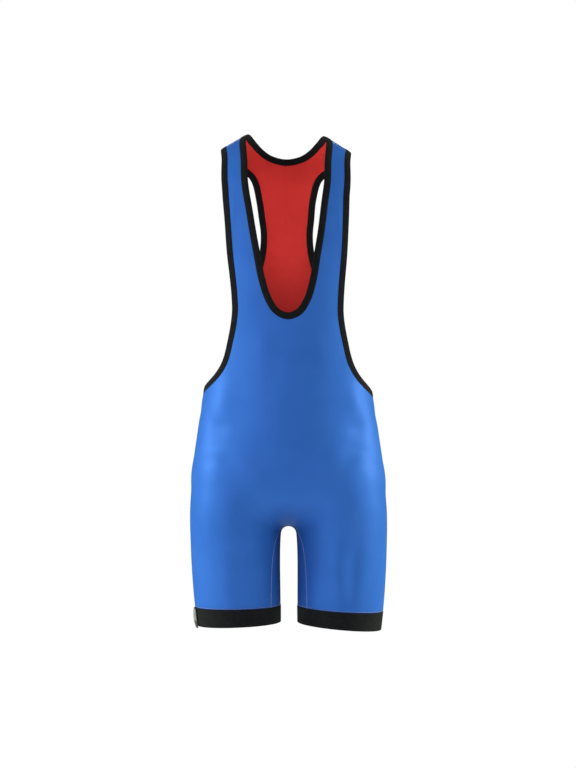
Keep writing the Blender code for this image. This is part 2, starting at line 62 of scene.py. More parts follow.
# The general figure: torso sections from the shoulders down, with depths in front and behind
Section = namedtuple("Section", "height half_width front back")
TORSO = (
    Section(0.040, 0.190, 0.078, 0.086),
    Section(-0.050, 0.188, 0.084, 0.090),
    Section(-0.150, 0.172, 0.103, 0.106),
    Section(-0.250, 0.156, 0.112, 0.104),
    Section(-0.350, 0.147, 0.110, 0.092),
    Section(-0.435, 0.1475, 0.105, 0.086),
    Section(-0.470, 0.1535, 0.105, 0.090),
    Section(-0.512, 0.1595, 0.107, 0.100),
    Section(-0.570, 0.168, 0.109, 0.118),
    Section(-0.630, 0.1745, 0.108, 0.126),
    Section(-0.700, 0.174, 0.106, 0.120),
)
ROUNDNESS = 2.2
SHOULDER_SLOPE = 0.36
SLOPE_FADES = (-0.40, -0.12)
SHOULDER_START = -0.0471
SHOULDER_HEIGHT = 0.090
SEAT_START = -0.570
SEAT_HEIGHT = 0.095
SEAT_ROUNDNESS = 2.6

# The general figure: leg sections
Leg = namedtuple("Leg", "height centre middle half_width half_depth")
LEGS = (
    Leg(-0.500, 0.078, 0.006, 0.062, 0.090),
    Leg(-0.570, 0.0870, 0.006, 0.0780, 0.104),
    Leg(-0.630, 0.0915, 0.009, 0.0810, 0.106),
    Leg(-0.713, 0.0938, 0.011, 0.0788, 0.094),
    Leg(-0.808, 0.0910, 0.012, 0.0760, 0.086),
    Leg(-0.860, 0.0882, 0.012, 0.0730, 0.083),
)
LEG_ROUNDNESS = 2.1
CROTCH_BLEND = 0.034
SIDE_BLEND = 0.006
BLEND_REACH = 0.100
FIGURE_RADIUS = 0.110
THIGH_RADIUS = 0.080
TORSO_REACH = 0.300
LEG_REACH = 0.108

# Free edges, from the shoulder down: how far each lies from the centre line
Edge = namedtuple("Edge", "height half_width")
RIDGE_NECK = 0.0662
RIDGE_ARMHOLE = 0.1138
NECK_FRONT = (
    Edge(-0.034, 0.0673),
    Edge(-0.077, 0.0654),
    Edge(-0.118, 0.0593),
    Edge(-0.160, 0.0532),
    Edge(-0.201, 0.0460),
    Edge(-0.242, 0.0386),
    Edge(-0.273, 0.0292),
    Edge(-0.294, 0.0163),
    Edge(-0.301, 0.0),
)
NECK_BACK = (
    Edge(0.0065, 0.0537),
    Edge(-0.004, 0.0429),
    Edge(-0.013, 0.0300),
    Edge(-0.018, 0.0160),
    Edge(-0.020, 0.0),
)
ARMHOLE_FRONT = (
    Edge(-0.034, 0.1127),
    Edge(-0.077, 0.1122),
    Edge(-0.118, 0.1095),
    Edge(-0.160, 0.1069),
    Edge(-0.201, 0.1042),
    Edge(-0.242, 0.1000),
    Edge(-0.276, 0.0973),
    Edge(-0.304, 0.0970),
    Edge(-0.345, 0.1035),
    Edge(-0.386, 0.1142),
    Edge(-0.407, 0.1261),
    Edge(-0.4240, 0.1410),
)
ARMHOLE_BACK = (
    Edge(-0.026, 0.1040),
    Edge(-0.043, 0.0830),
    Edge(-0.060, 0.0639),
    Edge(-0.093, 0.0545),
    Edge(-0.125, 0.0505),
    Edge(-0.157, 0.0473),
    Edge(-0.190, 0.0500),
    Edge(-0.240, 0.0630),
    Edge(-0.300, 0.0825),
    Edge(-0.360, 0.1035),
    Edge(-0.405, 0.1240),
)
ARMHOLE_BOTTOM = -0.4318
NECK_MIDDLE = (0.0, 0.0, -0.10)
ARMHOLE_MIDDLE = (0.20, 0.0, -0.22)

# Seams of the body and legs
RACER_LEVEL = -0.185
WAIST_LEVEL = -0.405
SEAT_LEVEL = -0.560
CROTCH_SETBACK = -0.020
SIDE_START = 0.090
SIDE_SEAT = -0.575
SIDE_CROTCH = -0.668
SIDE_ARCH = -0.706
CUFF_TOP = -0.8142
CUFF_BOTTOM = -0.8435
HEM_SLANT_TOP = 0.0450
HEM_SLANT_BOTTOM = 0.0675
HEM_INNER_X = 0.015
LEAN = 0.024

# How far the middle line sways to the wearer's left, by height
Sway = namedtuple("Sway", "height shift")
SWAY = (
    Sway(-0.100, 0.0),
    Sway(-0.135, 0.0010),
    Sway(-0.205, 0.0019),
    Sway(-0.276, 0.0030),
    Sway(-0.450, 0.0038),
    Sway(-0.700, 0.0047),
    Sway(-0.845, 0.0055),
)

# How far the inseam is turned to the front of the thigh, in degrees, by height
Turn = namedtuple("Turn", "height degrees")
INSEAM = (
    Turn(-0.686, 24.0),
    Turn(-0.702, 34.0),
    Turn(-0.735, 39.5),
    Turn(-0.785, 42.0),
)
HEM_TURN = 43.0

# The label on the wearer's right cuff, in degrees round the leg from its side
LABEL_FRONT = 24.0
LABEL_BACK = -14.0
LABEL_TOP = -0.8160
LABEL_BOTTOM = -0.8460
LABEL_BULGE = 0.0022

# Rows and columns of the grids, and how many table rows from the shoulder each stretch ends
COLUMNS = 9
COLUMN_CROWDING = 1.25
STRAP_ROWS = 12
BIB_ROWS = 7
CHEST_ROWS = 7
YOKE_ROWS = 8
RACER_ROWS = 6
FLANK_ROWS = 9
HIP_ROWS = 5
SEAT_ROWS = 6
ARCH_ROWS = 5
THIGH_ROWS = 4
LABEL_CELLS = 4
STRAP_KNOTS = 6
BIB_KNOTS = 8
ARCH_KNOTS = 2
YOKE_KNOTS = 3
RACER_KNOTS = 6
LEG_ROWS = ARCH_ROWS + THIGH_ROWS

# How finely curves are stepped, and how often a point is moved to lie on the figure or a level
CURVE_STEPS = 24
RELAX_PASSES = 120
HALVINGS = 40
SLOPE_STEP = 0.0002
FIGURE_PASSES = 12
TRIM_PASSES = 4
FEW_PASSES = 2
HEM_PASSES = 4
LEAST_SLOPE = 1e-6

# How much finer the cloth is than the solids, and the spacing of rows along the trim
PARTS = 5
TRIM_ROW = 0.0015
CUFF_TURNS = 240
LEG_TURNS = np.linspace(0.0, 360.0, CUFF_TURNS + 1)[:-1]

# The wearer's sides: every piece is made on the left, at plus X, and mirrored for the right
SIDES = {"left": np.array((1.0, 1.0, 1.0)), "right": np.array((-1.0, 1.0, 1.0))}

# The edge tape: its folded edge, the puckers between its stitches and its two rows of thread
TAPE_OVERLAP = 0.0006
TAPE_FOLD = 0.0014
TAPE_CUT = 0.0004
TAPE_STEPS = 12
TAPE_FOLD_STEPS = 9
TAPE_UNDER_STEPS = 6
TAPE_PUCKER = 0.00012
PUCKER_LENGTH = 0.0065
PUCKER_DRIFT = 2.0
PUCKER_DRIFT_RATE = 37.0
GROOVE_WIDTH = 0.0005
GROOVE_DEPTH = 0.00012
THREAD_ROWS = (0.0030, 0.0078)
THREAD_RADIUS = 0.00024
STITCH_LENGTH = 0.0028
STITCH_STEPS = 3
THREAD_SIDES = 4
THREAD_RISE = 0.3
THREAD_THINNEST = 0.45

# The cuff: its top edge, its outer face, its fold and its inner face
CUFF_EDGE_SINK = 0.0004
CUFF_EDGE_ROUND = 0.0003
CUFF_FACE_START = 0.0015
CUFF_FACE_STEPS = 12
CUFF_FOLD_TURN = 67.5
CUFF_FOLD_STEPS = 7
CUFF_INNER_STEPS = 5
LEG_GIRTH_RADIUS = 0.080

# The flat seams on the cloth
SEAM_WIDTH = 0.0030
INSEAM_WIDTH = 0.0022
HEM_SEAM_WIDTH = 0.0016
SEAM_LIFT = 0.0004
SEAM_WALL = 0.0005
SEAM_COLUMNS = 7
HEM_SEAM_RISE = 0.0020

# The form of a record of what a sheet was cut to before it was stretched, the tape and cuffs as far as
# they show; none is filled in here
Cut = namedtuple("Cut", "piece width length area sewing")

# The soft creases of stretched cloth, in millimetres, as ridges above zero and troughs below: a point
# beside the figure, reach each way, turn in degrees from upright and height
Form = namedtuple("Form", "x y z width length turn height")
FORMS = (
    # hip dimples and the pull from them down to the crotch
    Form(-120, -80, -455, 22, 24, 10, 2.2),
    Form(-122, -80, -502, 24, 16, 12, -2.6),
    Form(120, -80, -450, 20, 24, -12, 2.4),
    Form(122, -80, -498, 22, 16, -16, -2.8),
    Form(-105, -100, -560, 17, 55, -38, -1.6),
    Form(104, -100, -556, 15, 50, 34, -1.6),
    Form(-36, -100, -652, 11, 32, -48, -2.1),
    Form(36, -100, -653, 11, 30, 44, -2.1),
    Form(14, -100, -622, 16, 20, 0, 2.4),
    Form(-14, -100, -630, 12, 16, 15, 1.4),
    # chest and waist, in front
    Form(4, -100, -430, 56, 85, 0, 5.2),
    Form(-46, -100, -362, 13, 22, 8, 0.9),
    Form(-20, -100, -400, 15, 50, 4, -0.6),
    Form(55, -100, -365, 14, 26, -14, 0.9),
    Form(100, -100, -385, 12, 30, 30, -0.9),
    Form(-100, -100, -400, 13, 34, -28, -0.7),
    Form(8, -100, -500, 55, 16, 88, -0.6),
    # thighs, in front
    Form(80, -100, -750, 16, 50, -2, 6.2),
    Form(113, -80, -748, 11, 50, 3, -3),
    Form(-78, -100, -735, 18, 50, 8, -0.7),
    Form(-108, -80, -770, 12, 38, -6, 0.6),
    # straps: pull along them and puckers at the shoulder seams
    Form(-94, -80, -160, 6, 55, 3, 0.5),
    Form(92, -80, -175, 6, 62, -2, 0.5),
    Form(-82, -20, -10, 2.2, 16, 4, -0.4),
    Form(-98, -20, -14, 2.6, 14, -3, -0.5),
    Form(79, -20, -10, 2.4, 18, -5, -0.6),
    Form(88, -20, -12, 2.2, 14, 2, -0.5),
    Form(101, -20, -15, 2.4, 17, 6, -0.6),
    # sides
    Form(-160, 10, -480, 12, 34, 62, -1.1),
    Form(160, 0, -474, 12, 38, -58, -1.2),
    Form(-150, 30, -455, 10, 30, 70, 0.8),
    Form(150, 20, -446, 10, 32, -66, 0.8),
    Form(-170, 20, -640, 16, 60, 10, -0.8),
    Form(170, 20, -650, 15, 65, -14, -0.9),
    # back: the hollow above the seat, pulls under it and along the racerback
    Form(0, 100, -470, 26, 70, 2, -1.4),
    Form(-52, 100, -455, 17, 60, 14, 1),
    Form(55, 100, -448, 18, 55, -12, 1),
    Form(-90, 100, -500, 14, 50, 52, -1),
    Form(88, 100, -505, 13, 46, -56, -1.1),
    Form(-66, 110, -690, 12, 45, 74, -1.3),
    Form(68, 110, -694, 12, 40, -76, -1.3),
    Form(-30, 100, -655, 10, 30, 42, -1.1),
    Form(32, 100, -650, 10, 34, -40, -1.2),
    Form(-92, 90, -765, 14, 45, 5, -0.7),
    Form(88, 90, -760, 13, 50, -4, 0.8),
    Form(-40, 100, -300, 10, 60, 22, 0.6),
    Form(42, 100, -310, 10, 55, -20, 0.6),
    Form(0, 100, -130, 12, 55, 0, -0.6),
)
FORM_DEPTH = 50
MILLIMETRE = 0.001

# Light and camera: softboxes round the garment, in degrees to the right of the front and upwards
AMBIENT = 0.11
WARM_WHITE = (0.90, 1.0, 0.80)
COOL_WHITE = (1.0, 1.0, 1.0)
Softbox = namedtuple("Softbox", "name azimuth elevation power colour")
LIGHTS = (
    Softbox("left_softbox", -88.0, 12.0, 88.0, WARM_WHITE),
    Softbox("left_front_softbox", -40.0, 8.0, 22.0, COOL_WHITE),
    Softbox("front_softbox", 0.0, 6.0, 11.0, COOL_WHITE),
    Softbox("right_front_softbox", 54.0, 10.0, 21.0, WARM_WHITE),
    Softbox("right_softbox", 98.0, 12.0, 85.0, WARM_WHITE),
    Softbox("back_softbox", 180.0, 20.0, 36.0, COOL_WHITE),
)
LIGHT_AIM = (0.0, 0.0, -0.45)
LIGHT_DISTANCE = 2.6
LIGHT_SIZE = (0.9, 1.1)
CAMERA_PLACE = (0.0035, -4.2, -0.424)
CAMERA_LENS = 111.74
FLOOR_LEVEL = -1.32
FLOOR_RADIUS = 1.15
FLOOR_SIDES = 96

# Colours
WHITE = (1.0, 1.0, 1.0, 1.0)
FLOOR_GREY = (0.86, 0.86, 0.86, 1.0)
BLUE = (0.028, 0.118, 0.480), (0.034, 0.134, 0.530)
RED = (0.780, 0.041, 0.040), (0.880, 0.050, 0.048)
BLACK = (0.004, 0.004, 0.0055), (0.008, 0.008, 0.0105)
THREADS = {
    "blue_thread": ((0.022, 0.105, 0.430), (0.036, 0.140, 0.530)),
    "pale_thread": ((0.070, 0.125, 0.420), (0.170, 0.175, 0.470)),
    "hem_thread": ((0.036, 0.110, 0.430), (0.075, 0.130, 0.470)),
}

# How a colour wanders from dark to light: noise, and where on it the two colours are reached
Mottle = namedtuple("Mottle", "scale detail low high")
SATIN_MOTTLE = Mottle(14.0, 4.0, 0.3, 0.7)
TAPE_MOTTLE = Mottle(160.0, 3.0, 0.3, 0.75)
THREAD_MOTTLE = Mottle(220.0, 2.0, 0.35, 0.7)

# The loops of a knit: their width and height, and their bump
Knit = namedtuple("Knit", "wale course strength depth")
SATIN_KNIT = Knit(0.0009, 0.0007, 0.18, 0.00006)
TAPE_KNIT = Knit(0.0013, 0.0010, 0.5, 0.00012)
THREAD_KNIT = Knit(0.0016, 0.0012, 0.5, 0.00020)
LOOP_BEND = 1.6

# The label's plain weave
LABEL_GREY = (0.150, 0.150, 0.155), (0.230, 0.230, 0.235)
LABEL_EDGE = (0.012, 0.012, 0.014, 1.0)
LABEL_SIZE = (0.053, 0.030)
LABEL_BORDER = 0.0026
WEFT_LENGTH = 0.0006
WEFT_SHARE = 0.1
FLECK_SHARE = 0.6
LABEL_MOTTLE = Mottle(400.0, 2.0, 0.15, 0.45)
LABEL_BUMP = (0.3, 0.00008)

# Cloth: its roughness, its gloss and the shade painted into its colour in hollows, where the share of
# open sky within reach is raised to power and multiplied by gain
Cloth = namedtuple("Cloth", "roughness gloss power gain reach")
# Painted shade: the blue is darkened a little in hollows, the red inside much more, deep in the garment
BLUE_CLOTH = Cloth(0.48, 0.12, 0.3, 1.0, 0.20)
RED_CLOTH = Cloth(0.60, 0.0, 4.8, 5.4, 0.45)
DARKEST_PAINTED_SHADE = 0.35
PAINTED_SHADE_SAMPLES = 24


class TableCurve:
    """A smooth curve by height through one column of a table, flat beyond its ends."""

    def __init__(self, table, column):
        rows = sorted(table, key=lambda row: row.height)
        self.knots = np.array([row.height for row in rows])
        self.values = np.array([getattr(row, column) for row in rows])
        self.slopes = np.gradient(self.values, self.knots)

    def __call__(self, height):
        height = np.clip(height, self.knots[0], self.knots[-1])
        cell = np.clip(np.searchsorted(self.knots, height, side="right") - 1, 0, len(self.knots) - 2)
        step = self.knots[cell + 1] - self.knots[cell]
        t = (height - self.knots[cell]) / step
        blend = t * t * (3.0 - 2.0 * t)
        rise = step * t * (1.0 - t) * (self.slopes[cell] * (1.0 - t) - self.slopes[cell + 1] * t)
        return self.values[cell] * (1.0 - blend) + self.values[cell + 1] * blend + rise


TORSO_WIDTH, TORSO_FRONT, TORSO_BACK = (TableCurve(TORSO, name) for name in Section._fields[1:])
LEG_CENTRE, LEG_MIDDLE, LEG_WIDTH, LEG_DEPTH = (TableCurve(LEGS, name) for name in Leg._fields[1:])
SWAY_SHIFT = TableCurve(SWAY, "shift")


def smooth_minimum(first, second, width):
    """The lower of two fields, with the crease between them rounded off."""
    near = np.maximum(width - np.abs(first - second), 0.0) / width
    return np.minimum(first, second) - near * near * width / 4.0


def torso_field(x, y, z):
    """Below zero inside the torso. The top closes as shoulders, and the bottom as a seat."""
    low, high = SLOPE_FADES
    fade = np.clip((z - low) / (high - low), 0.0, 1.0)
    level = z + SHOULDER_SLOPE * np.abs(x) * fade * fade * (3.0 - 2.0 * fade)
    across = np.abs(x) / TORSO_WIDTH(z)
    through = np.abs(y) / np.where(y < 0.0, TORSO_FRONT(level), TORSO_BACK(level))
    above = np.maximum(level - SHOULDER_START, 0.0) / SHOULDER_HEIGHT
    below = np.maximum(SEAT_START - z, 0.0) / SEAT_HEIGHT
    total = across**ROUNDNESS + through**ROUNDNESS + above**2 + below**SEAT_ROUNDNESS
    return FIGURE_RADIUS * (total ** (1.0 / ROUNDNESS) - 1.0)


def leg_field(x, y, z):
    """Below zero inside the leg on the plus X side."""
    across = np.abs(x - LEG_CENTRE(z)) / LEG_WIDTH(z)
    through = np.abs(y - LEG_MIDDLE(z)) / LEG_DEPTH(z)
    above = np.maximum(z - LEGS[1].height, 0.0) / (LEGS[0].height - LEGS[1].height)
    total = across**LEG_ROUNDNESS + through**LEG_ROUNDNESS + above**2
    return THIGH_RADIUS * (total ** (1.0 / LEG_ROUNDNESS) - 1.0)


def figure_field(points):
    """Below zero inside the general figure, zero on it and above zero outside."""
    x, y, z = points[..., 0], points[..., 1], points[..., 2]
    legs = smooth_minimum(leg_field(x, y, z), leg_field(-x, y, z), CROTCH_BLEND)
    blend = SIDE_BLEND + (CROTCH_BLEND - SIDE_BLEND) * np.exp(-((x / BLEND_REACH) ** 2))
    return smooth_minimum(torso_field(x, y, z), legs, blend)


def figure_slope(points):
    parts = []
    for axis in np.eye(3) * SLOPE_STEP:
        rise = figure_field(points + axis) - figure_field(points - axis)
        parts.append(rise / (2.0 * SLOPE_STEP))
    return np.stack(parts, axis=-1)


def on_figure(points, passes=FIGURE_PASSES):
    """The points moved along the figure's slope until they lie on it."""
    points = np.array(points, float)
    for _ in range(passes):
        slope = figure_slope(points)
        length = np.maximum((slope**2).sum(-1), LEAST_SLOPE)
        points -= (figure_field(points) / length)[..., None] * slope
    return points


def unit(vectors):
    return vectors / np.linalg.norm(vectors, axis=-1, keepdims=True)


def outward(points):
    return unit(figure_slope(points))


def surface_from(starts, directions, reach=TORSO_REACH):
    """Where straight lines from inside the figure come out of it."""
    starts, directions = np.broadcast_arrays(np.asarray(starts, float), np.asarray(directions, float))
    near = np.zeros(starts.shape[:-1])
    far = near + reach
    for _ in range(HALVINGS):
        middle = (near + far) / 2.0
        inside = figure_field(starts + middle[..., None] * directions) < 0.0
        near, far = np.where(inside, middle, near), np.where(inside, far, middle)
    return starts + near[..., None] * directions


def edge_points(table, facing):
    """A free edge's table as points of the figure, in front where facing is -1, behind where 1."""
    return surface_from([(row.half_width, 0.0, row.height) for row in table], (0.0, facing, 0.0))


def ridge_point(half_width):
    return surface_from((half_width, 0.0, NECK_MIDDLE[2]), (0.0, 0.0, 1.0))


def leg_points(heights, degrees):
    """Points at angles round the leg: 0 is its side, 90 its front and 180 its inside."""
    heights, turns = np.broadcast_arrays(np.asarray(heights, float), np.radians(degrees))
    starts = np.stack([LEG_CENTRE(heights), LEG_MIDDLE(heights), heights], axis=-1)
    directions = np.stack([np.cos(turns), -np.sin(turns), 0.0 * turns], axis=-1)
    return surface_from(starts, directions, LEG_REACH)


def hem_points(height, degrees):
    """Points of a level that falls a little towards the outside of the leg."""
    slant = np.interp(height, (CUFF_BOTTOM, CUFF_TOP), (HEM_SLANT_BOTTOM, HEM_SLANT_TOP))
    points = leg_points(height, degrees)
    for _ in range(HEM_PASSES):
        points = leg_points(height - slant * (points[..., 0] - HEM_INNER_X), degrees)
    return points


def between(t, start, end, first, last):
    """The cubic curve from start to end, with its slopes there first and last."""
    return (
        (2 * t**3 - 3 * t**2 + 1) * start
        + (t**3 - 2 * t**2 + t) * first
        + (3 * t**2 - 2 * t**3) * end
        + (t**3 - t**2) * last
    )


def curve_through(knots, closed):
    """A smooth curve through the knots, CURVE_STEPS points for each stretch between two."""
    knots = np.asarray(knots, float)
    if closed:
        ends = np.vstack([knots[-1], knots, knots[0], knots[1]])
    else:
        ends = np.vstack([2 * knots[0] - knots[1], knots, 2 * knots[-1] - knots[-2]])
    points = []
    for before, start, end, after in zip(ends, ends[1:], ends[2:], ends[3:]):
        way = end - start
        gaps = [math.sqrt(np.linalg.norm(step)) for step in (start - before, way, after - end)]
        first = ((start - before) / gaps[0] - (end - before) / (gaps[0] + gaps[1])) * gaps[1] + way
        last = ((after - end) / gaps[2] - (after - start) / (gaps[1] + gaps[2])) * gaps[1] + way
        points += [between(t, start, end, first, last) for t in np.arange(CURVE_STEPS) / CURVE_STEPS]
    if not closed:
        points.append(knots[-1])
    return on_figure(points)


def even_places(points, rows):
    """Fractional indices that split a line of points into rows of equal length."""
    lengths = np.concatenate([[0.0], np.cumsum(np.linalg.norm(np.diff(points, axis=0), axis=1))])
    return np.interp(np.linspace(0.0, lengths[-1], rows + 1), lengths, np.arange(len(points)))


def at_places(points, places):
    return np.stack([np.interp(places, np.arange(len(points)), points[:, k]) for k in range(3)], axis=1)


def spread(points, rows):
    return on_figure(at_places(points, even_places(points, rows)))


class BoundEdge:
    """A closed free edge of the cloth, and the line where its binding meets the panels."""

    def __init__(self, knots, middle):
        self.free = curve_through(knots, closed=True)
        along = np.roll(self.free, -1, axis=0) - np.roll(self.free, 1, axis=0)
        across = np.cross(outward(self.free), along)
        across /= np.linalg.norm(across, axis=1, keepdims=True)
        if ((self.free - middle) * across).sum() < 0.0:
            across = -across
        self.inner = on_figure(self.free + BINDING_WIDTH * across)

    def stretches(self, knots, rows):
        """The inner line from knot to knot, each stretch in its number of even rows."""
        way = 1 if knots[-1] > knots[0] else -1
        stretches = []
        for first, last, count in zip(knots, knots[1:], rows):
            index = np.arange(first * CURVE_STEPS, last * CURVE_STEPS + way, way) % len(self.inner)
            stretches.append(spread(self.inner[index], count))
        return stretches


def neck_edge():
    half = np.vstack([
        edge_points(NECK_FRONT, -1.0)[::-1],
        ridge_point(RIDGE_NECK),
        edge_points(NECK_BACK, 1.0),
    ])
    other_half = half[-2:0:-1] * SIDES["right"]
    return BoundEdge(np.vstack([half, other_half]), np.array(NECK_MIDDLE))


def armhole_edge():
    knots = np.vstack([
        surface_from((SIDE_START, 0.0, ARMHOLE_BOTTOM), (1.0, 0.0, 0.0)),
        edge_points(ARMHOLE_FRONT, -1.0)[::-1],
        ridge_point(RIDGE_ARMHOLE),
        edge_points(ARMHOLE_BACK, 1.0),
    ])
    return BoundEdge(knots, np.array(ARMHOLE_MIDDLE))


def level_rows(start, direction, top, bottom, rows):
    """Rows down a line of the figure, each found straight out from a point at its own height."""
    starts = np.array([(*start, height) for height in np.linspace(top, bottom, CURVE_STEPS)])
    return spread(surface_from(starts, direction), rows)


def centre_rows(top, bottom, rows, facing):
    """Rows down the middle line, in front where facing is -1 and behind where it is 1."""
    return level_rows((0.0, CROTCH_SETBACK), (0.0, facing, 0.0), top, bottom, rows)


def side_rows(top, bottom, rows):
    return level_rows((SIDE_START, 0.0), (1.0, 0.0, 0.0), top, bottom, rows)


def seat_rows(facing, parts):
    """Rows from the middle line round under the seat, to where the four seams meet."""
    turns = np.radians(np.linspace(0.0, 90.0, CURVE_STEPS))
    directions = np.stack([0.0 * turns, facing * np.cos(turns), -np.sin(turns)], axis=-1)
    return spread(surface_from((0.0, CROTCH_SETBACK, SEAT_LEVEL), directions), SEAT_ROWS * parts)


def inseam_rows(crotch, parts):
    heights = [row.height for row in INSEAM]
    degrees = [180.0 - row.degrees for row in INSEAM]
    knots = np.vstack([crotch, leg_points(heights, degrees), hem_points(CUFF_TOP, 180.0 - HEM_TURN)])
    line = curve_through(knots, closed=False)
    arch = ARCH_KNOTS * CURVE_STEPS
    return [spread(line[: arch + 1], ARCH_ROWS * parts), spread(line[arch:], THIGH_ROWS * parts)]


def end_to_end(stretches):
    """Stretches of rows as one, each without the first row, which the one before it ends on."""
    return np.vstack([stretches[0]] + [stretch[1:] for stretch in stretches[1:]])


def swept_row(inner, outer, share, facing):
    """A first guess at a row, swung about an axis that moves from the torso to the leg."""
    axis = share * np.array((LEGS[2].centre, LEGS[2].middle))
    ends = [math.atan2(facing * (p[1] - axis[1]), p[0] - axis[0]) for p in (inner, outer)]
    if ends[0] < -math.pi / 2.0:
        ends[0] += 2.0 * math.pi
    reach = [math.hypot(p[0] - axis[0], p[1] - axis[1]) for p in (inner, outer)]
    turn = ends[0] + column_shares(1) * (ends[1] - ends[0])
    radius = reach[0] + column_shares(1) * (reach[1] - reach[0])
    height = inner[2] + column_shares(1) * (outer[2] - inner[2])
    x = axis[0] + radius * np.cos(turn)
    y = axis[1] + facing * radius * np.sin(turn)
    return np.stack([x, y, height], axis=1)


def relaxed(grid):
    """The grid with its inner points evened out over the figure, and its border kept."""
    grid = grid.copy()
    shares = column_shares(1)
    share = (shares[1:-1] - shares[:-2]) / (shares[2:] - shares[:-2])
    for _ in range(RELAX_PASSES):
        above, below, inner, outer = grid[:-2, 1:-1], grid[2:, 1:-1], grid[1:-1, :-2], grid[1:-1, 2:]
        down = 1.0 / ((below - above) ** 2).sum(-1, keepdims=True)
        along = 1.0 / ((outer - inner) ** 2).sum(-1, keepdims=True)
        between = inner + share[:, None] * (outer - inner)
        middle = (down * (above + below) / 2.0 + along * between) / (down + along)
        grid[1:-1, 1:-1] = on_figure(middle, passes=FEW_PASSES)
    return grid


def column_shares(parts):
    return np.linspace(0.0, 1.0, COLUMNS * parts + 1) ** COLUMN_CROWDING


def smooth_between(points, parts):
    """Rows of points with smooth curves through them, parts new rows for each old one."""
    slopes = np.gradient(points, axis=0)
    place = np.arange((len(points) - 1) * parts + 1) / parts
    cell = np.minimum(place.astype(int), len(points) - 2)
    t = (place - cell).reshape((-1,) + (1,) * (points.ndim - 1))
    return between(t, points[cell], points[cell + 1], slopes[cell], slopes[cell + 1])


def finer(grid, parts):
    """The grid with every cell cut into parts each way, laid on the figure again."""
    rows = smooth_between(grid, parts)
    return on_figure(smooth_between(rows.transpose(1, 0, 2), parts).transpose(1, 0, 2))


def fitted(grid, inner, outer, top, bottom):
    """The grid moved to meet its border, with the points inside carried along."""
    across = np.linspace(0.0, 1.0, grid.shape[1])[None, :, None]
    down = np.linspace(0.0, 1.0, grid.shape[0])[:, None, None]
    grid = grid + (1.0 - across) * (inner - grid[:, 0])[:, None] + across * (outer - grid[:, -1])[:, None]
    grid = grid + (1.0 - down) * (top - grid[0]) + down * (bottom - grid[-1])
    grid = on_figure(grid)
    grid[0], grid[-1] = top, bottom
    grid[:, 0], grid[:, -1] = inner, outer
    return grid


def border(bound_inner, bound_outer, facing, parts):
    """The inner and the outer line of half a panel, from the shoulder down to the hem."""
    under = seat_rows(facing, parts)
    hem = hem_points(CUFF_TOP, 0.0)
    hips = [centre_rows(WAIST_LEVEL, SEAT_LEVEL, HIP_ROWS * parts, facing), under]
    sides = [
        side_rows(bound_outer[-1][-1][2], SIDE_SEAT, HIP_ROWS * parts),
        side_rows(SIDE_SEAT, SIDE_CROTCH, SEAT_ROWS * parts),
        side_rows(SIDE_CROTCH, SIDE_ARCH, ARCH_ROWS * parts),
        side_rows(SIDE_ARCH, hem[2], THIGH_ROWS * parts),
    ]
    return end_to_end(bound_inner + hips + inseam_rows(under[-1], parts)), end_to_end(bound_outer + sides)


def coarse_half(inner, outer, facing):
    """Half a panel with as few rows as the solids have."""
    torso_rows = len(inner) - SEAT_ROWS - LEG_ROWS
    swing = np.linspace(0.0, 1.0, SEAT_ROWS + 1)[1:]
    shares = np.concatenate([np.zeros(torso_rows), swing, np.ones(LEG_ROWS)])
    rows = [swept_row(a, b, share, facing) for a, b, share in zip(inner, outer, shares)]
    grid = on_figure(np.array(rows))
    grid[0] = shoulder_row(inner[0], outer[0], 1)
    grid[-1] = hem_row(outer[-1], facing, 1)
    grid[:, 0], grid[:, -1] = inner, outer
    return relaxed(grid)


def hem_row(side_foot, facing, parts):
    """The lowest row of half a panel, from the inseam round to the foot of the side line."""
    x, y, z = side_foot
    start = 180.0 - HEM_TURN if facing < 0.0 else -180.0 - HEM_TURN
    end = math.degrees(math.atan2(LEG_MIDDLE(z) - y, x - LEG_CENTRE(z)))
    return hem_points(CUFF_TOP, start + (end - start) * column_shares(parts))


def shoulder_row(inner, outer, parts):
    return on_figure(inner + column_shares(parts)[:, None] * (outer - inner))


